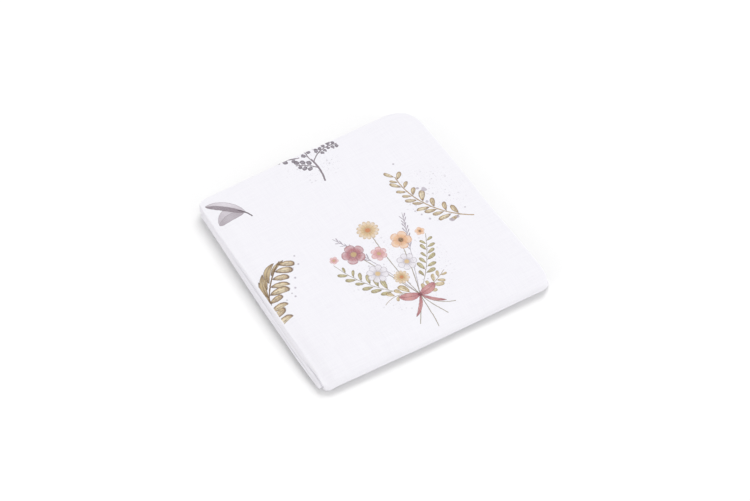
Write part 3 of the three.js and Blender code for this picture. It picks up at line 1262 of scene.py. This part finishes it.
# %% [markdown]
# ## The finish
#
# Soft cotton is matt, with a faint sheen from its fuzz. Everything that rises or sinks goes into one
# height, in millimetres, and a Bump node turns it into a normal: real displacement would need a far finer
# mesh. The colour carries the print, and the roughness changes only a little, where thick yarns lie. The
# sheen is the same all over, so it is set on the shader's own socket.

# %% The finish
RISES = {
    # signal, and how high it rises or how deep it sinks in millimetres
    "weave": (weave, 0.05),
    "thick yarns": (streaks, 0.06),
    "crinkle": (crinkle, 0.22),
    "hem": (hem_step, 0.15),
    "stitches": (stitch, -0.18),
    "pucker": (pucker * gathered, -0.06),
}
height = sum(signal * rise for signal, rise in RISES.values())
bump = Signal.node("ShaderNodeBump", (), {"Strength": 0.6, "Distance": MM, "Height": height})

finish = Signal.tree.nodes["Principled BSDF"]
for name, signal in {
    "Base Color": cloth,
    "Normal": bump,
    "Roughness": 0.88 + (streaks - 1) * 0.08,
}.items():
    Signal.tree.links.new(signal.socket, finish.inputs[name])
finish.inputs["Specular IOR Level"].default_value = 0.2
finish.inputs["Sheen Weight"].default_value = 0.12
finish.inputs["Sheen Roughness"].default_value = 0.5
swaddle.data.materials.append(cloth_paint)
print("nodes in the cloth's own tree:", len(Signal.tree.nodes))

# %% [markdown]
# ## Camera
#
# A folded cloth is shown best from above and from one corner, so that its top and two of its sides can be
# seen. The camera stands about 2.3 m away, to the front and to the left, and looks down at just over
# fifty degrees. A short lens from close by would frame it as well, but would make the far sides look
# shorter than the near ones. A long lens hardly does, and its shift moves the picture without turning the
# camera.

# %% Camera
HEADING = -30.7377
HEIGHT = 51.7504
DISTANCE = 2.3461
TARGET = Vector((0, 0, node_high[2] / 2))


def toward(heading, height):
    """The direction with this heading from the front, to the right, and this height, both in degrees."""
    heading, height = np.radians([heading, height])
    return Vector((np.sin(heading) * np.cos(height), -np.cos(heading) * np.cos(height), np.sin(height)))


long_lens = bpy.data.cameras.new("still")
long_lens.sensor_width = 36
long_lens.lens = 96
long_lens.shift_x = 0.0074
long_lens.shift_y = -0.0087
still = bpy.data.objects.new("still", long_lens)
still.location = TARGET + DISTANCE * toward(HEADING, HEIGHT)
still.rotation_euler = toward(HEADING, HEIGHT).to_track_quat("Z", "Y").to_euler()
bpy.context.scene.collection.objects.link(still)
bpy.context.scene.camera = still
print("camera at", [round(value, 3) for value in still.location])

# %% [markdown]
# ## Light and floor
#
# The packet lies on white paper in a studio tent, which is bright from everywhere above. The tent could
# be modelled with lamps outside it, but a plain white world gives the same even light without the noise.
# Three wide lights, each as far off as a window, do the rest. The main one stands behind on the right, so
# that the shadow falls to the near left side. A low one in front keeps the front roll bright, and another
# one at the left, faintly pink, lifts the folds there.

# %% Windows


def far_light(name, heading, height, strength, spread, colour=(1, 1, 1)):
    """A light as far off as a window, so that it is equally strong all over the packet."""
    lamp = bpy.data.lights.new(name, "SUN")
    lamp.energy = strength
    lamp.angle = np.radians(spread)
    lamp.color = colour
    holder = bpy.data.objects.new(name, lamp)
    holder.rotation_euler = toward(heading, height).to_track_quat("Z", "Y").to_euler()
    bpy.context.scene.collection.objects.link(holder)


far_light("window", heading=134, height=50, strength=1.58, spread=36)
far_light("front window", heading=24, height=6, strength=1.4, spread=36)
far_light("left window", heading=-85, height=8, strength=1.15, spread=50, colour=(1, 0.96, 0.97))
print("lights:", *(light.name for light in bpy.data.lights))

# %% [markdown]
# The tent is the world itself: one white colour from every side. Its strength against the windows' sets
# how dark the shadows are. The picture is shown as it is, without a film curve, so that white stays
# white. The paper has no gloss at all, so it shows nothing but the soft shadow.

# %% Tent and paper
PAPER_HALF = 6.0

world = bpy.data.worlds.new("tent")
world.use_nodes = True
world.node_tree.nodes["Background"].inputs["Color"].default_value = (1, 1, 1, 1)
world.node_tree.nodes["Background"].inputs["Strength"].default_value = 0.745
bpy.context.scene.world = world
bpy.context.scene.view_settings.view_transform = "Standard"

paper = bpy.data.materials.new("white_paper")
paper.use_nodes = True
matt = paper.node_tree.nodes["Principled BSDF"].inputs
matt["Base Color"].default_value = (0.845, 0.845, 0.845, 1)
matt["Roughness"].default_value = 1.0
matt["Specular IOR Level"].default_value = 0.0

round_the_middle = ((-1, -1), (1, -1), (1, 1), (-1, 1))
paper_corners = [(PAPER_HALF * side_x, PAPER_HALF * side_y, 0) for side_x, side_y in round_the_middle]
floor_mesh = bpy.data.meshes.new("paper")
floor_mesh.from_pydata(paper_corners, [], [(0, 1, 2, 3)])
floor_mesh.materials.append(paper)
floor = bpy.data.objects.new("paper", floor_mesh)
bpy.context.scene.collection.objects.link(floor)
print("the paper is", 2 * PAPER_HALF, "m across")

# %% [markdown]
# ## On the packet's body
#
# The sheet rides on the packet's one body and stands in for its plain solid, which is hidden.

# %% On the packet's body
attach(swaddle, "root")
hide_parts("blanket")
